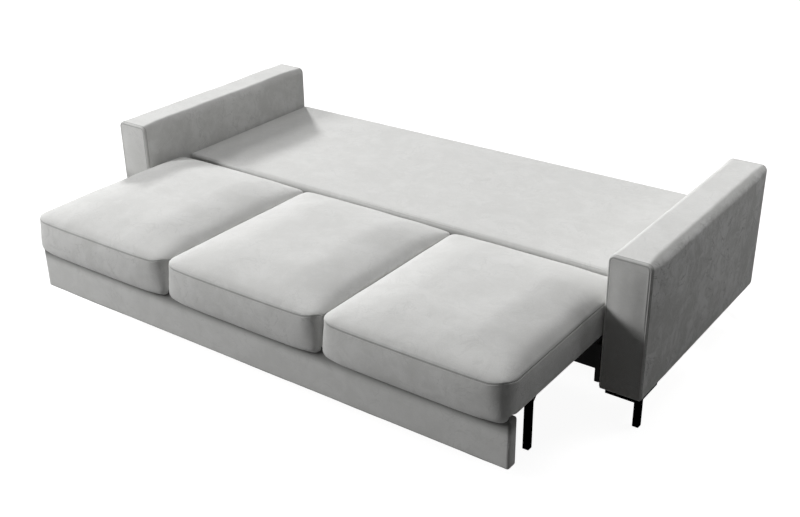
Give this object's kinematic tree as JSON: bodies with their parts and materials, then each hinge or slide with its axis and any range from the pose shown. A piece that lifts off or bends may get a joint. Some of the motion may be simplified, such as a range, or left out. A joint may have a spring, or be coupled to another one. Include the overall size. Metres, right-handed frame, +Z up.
{
  "type": "sleeper sofa with pull-out bed",
  "caption": "Sleeper sofa opened as a bed: block arms, pull-out seat with loose cushions, flat folding backrest, fascia and slim square legs.",
  "frame": {"origin": "on the floor, under the middle of the opened bed's box", "axes": "+X to the sitter's left along the sofa, +Y to the rear, +Z up"},
  "size_m": [2.3, 1.533, 0.583],
  "materials": {
    "velour": "light grey velour with a short, softly mottled nap",
    "black_steel": "matte black powder coat",
    "black_wood": "matte black paint",
    "beech": "bare planed beech",
    "plywood": "bare sanded plywood",
    "zinc_steel": "zinc plated",
    "nylon": "moulded nylon"
  },
  "bodies": {
    "base": {"arm_cover_left": "velour", "arm_cover_right": "velour", "arm_inner_board_left": "plywood", "arm_inner_board_right": "plywood", "arm_outer_board_left": "plywood", "arm_outer_board_right": "plywood", "arm_top_board_left": "plywood", "arm_top_board_right": "plywood", "arm_leg_front_left": "black_steel", "arm_leg_front_right": "black_steel", "arm_leg_rear_left": "black_steel", "arm_leg_rear_right": "black_steel", "arm_bottom_board_left": "plywood", "arm_bottom_board_right": "plywood", "seat_rail_left": "zinc_steel", "seat_rail_right": "zinc_steel", "back_guide_left": "zinc_steel", "back_guide_right": "zinc_steel", "cam_track_left": "zinc_steel", "cam_track_right": "zinc_steel", "rear_beam": "beech", "bed_stop_left": "nylon", "bed_stop_right": "nylon"},
    "seat": {"seat_front_rail": "black_wood", "seat_rear_rail": "black_wood", "seat_side_rail_left": "black_wood", "seat_side_rail_right": "black_wood", "seat_cross_rail_left": "black_wood", "seat_cross_rail_right": "black_wood", "seat_rear_board": "black_wood", "seat_deck": "plywood", "seat_end_board_left": "black_wood", "seat_end_board_right": "black_wood", "seat_axle_plate_left": "black_steel", "seat_axle_plate_right": "black_steel", "seat_leg_left": "black_steel", "seat_leg_right": "black_steel", "drive_plate_left": "black_steel", "drive_plate_right": "black_steel", "fascia_cover": "velour", "fascia_board": "plywood", "seat_cushion_left": "velour", "seat_cushion_centre": "velour", "seat_cushion_right": "velour"},
    "back_carriage": {"back_shaft": "zinc_steel", "slider_block_left": "nylon", "slider_block_right": "nylon"},
    "backrest": {"back_cover": "velour", "back_base_board": "plywood", "back_front_rail": "beech", "back_rear_rail": "beech", "back_end_rail_left": "beech", "back_end_rail_right": "beech", "back_mid_rail": "beech", "back_bracket_left": "black_steel", "back_bracket_right": "black_steel", "cam_pin_left": "zinc_steel", "cam_pin_right": "zinc_steel"},
    "roller_left": {"seat_roller_left": "nylon"},
    "roller_right": {"seat_roller_right": "nylon"}
  },
  "joints": [
    {"name": "seat_slide", "type": "slide", "parent": "base", "child": "seat", "axis": [0, 1, 0], "range_m": [0, 0.56]},
    {"name": "carriage_slide", "type": "slide", "parent": "base", "child": "back_carriage", "axis": [0, 0.9615, -0.2747], "range_m": [0, 0.5825]},
    {"name": "back_tilt", "type": "hinge", "parent": "back_carriage", "child": "backrest", "pos_m": [0, 0.065, 0.311], "axis": [1, 0, 0], "range_deg": [0, 78.01]},
    {"name": "roller_spin_left", "type": "hinge", "parent": "seat", "child": "roller_left", "pos_m": [1.0147, -0.0835, 0.1456], "axis": [1, 0, 0], "range_deg": [-2675, 0]},
    {"name": "roller_spin_right", "type": "hinge", "parent": "seat", "child": "roller_right", "pos_m": [-1.0147, -0.0835, 0.1456], "axis": [1, 0, 0], "range_deg": [-2675, 0]}
  ],
  "couplings": [
    {"joint": "carriage_slide", "follows": "seat_slide", "ratio": 1.04},
    {"joint": "back_tilt", "follows": "seat_slide", "rad_per_m": 2.431},
    {"joint": "roller_spin_left", "follows": "seat_slide", "rad_per_m": -83.333},
    {"joint": "roller_spin_right", "follows": "seat_slide", "rad_per_m": -83.333}
  ]
}
